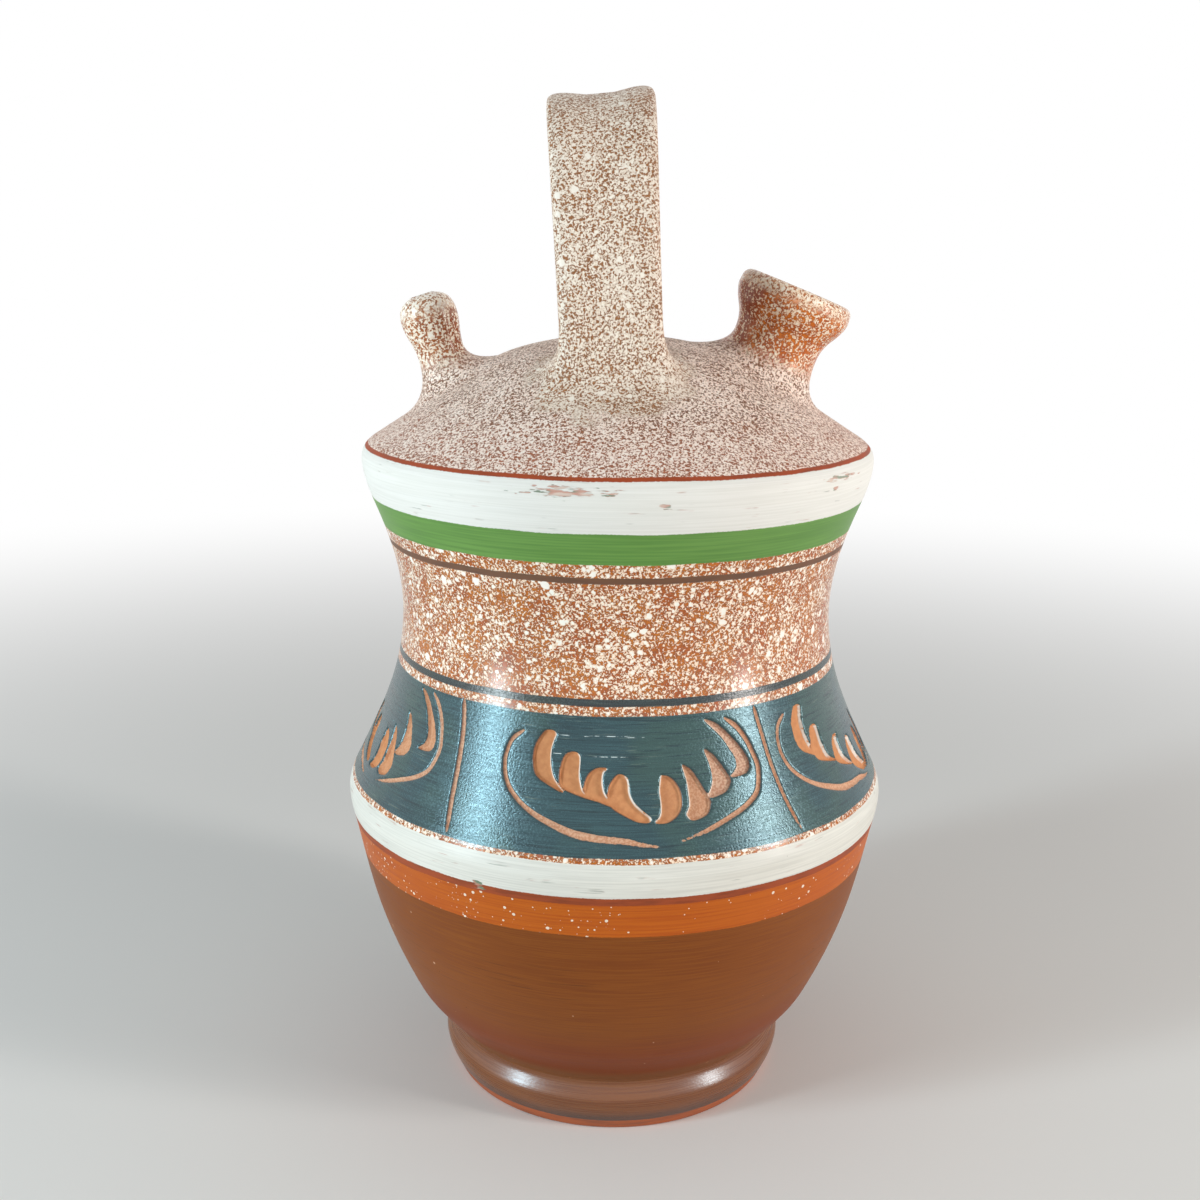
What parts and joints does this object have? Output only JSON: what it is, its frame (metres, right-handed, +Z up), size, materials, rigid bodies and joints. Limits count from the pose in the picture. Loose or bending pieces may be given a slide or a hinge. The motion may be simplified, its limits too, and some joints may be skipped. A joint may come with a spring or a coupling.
{
  "type": "clay water jug",
  "caption": "Closed clay water jug with a waisted body, a domed top, a filling mouth, a small drinking spout and a strap handle over the top.",
  "frame": {"origin": "on the ground under the middle of the foot, which is the bottom centre of the whole jug", "axes": "+Z up along the body's turning axis. +X towards the wide filling mouth and -X towards the small drinking spout. The strap handle's arch spans from -Y, the front, to +Y, the back."},
  "size_m": [0.1742, 0.1742, 0.3173],
  "materials": {
    "foot_slip": "brown slip burnished to a soft gloss, with a bare terracotta edge at the ground",
    "bowl_slip": "satin brown slip with fine turning lines, under an orange band spattered with white and a white band at the ridge",
    "waist_slip": "dark satin slip band carved through to bare clay, under speckled, green and white bands",
    "dome_speckle": "matt cream speckle over brown clay, with a red-brown line round the edge",
    "mouth_speckle": "cream speckle over brown clay with a clear gloss",
    "spout_speckle": "cream speckle over brown clay with a clear gloss",
    "handle_speckle": "coarse cream speckle over brown clay, matt",
    "coil_speckle": "cream speckle over brown clay, matt"
  },
  "bodies": {
    "root": {"foot_ring": "foot_slip", "lower_bowl": "bowl_slip", "waist_wall": "waist_slip", "dome": "dome_speckle", "filling_mouth": "mouth_speckle", "mouth_coil": "coil_speckle", "drinking_spout": "spout_speckle", "spout_coil": "coil_speckle", "strap_handle": "handle_speckle", "front_handle_coil": "handle_speckle", "rear_handle_coil": "handle_speckle"}
  },
  "joints": []
}
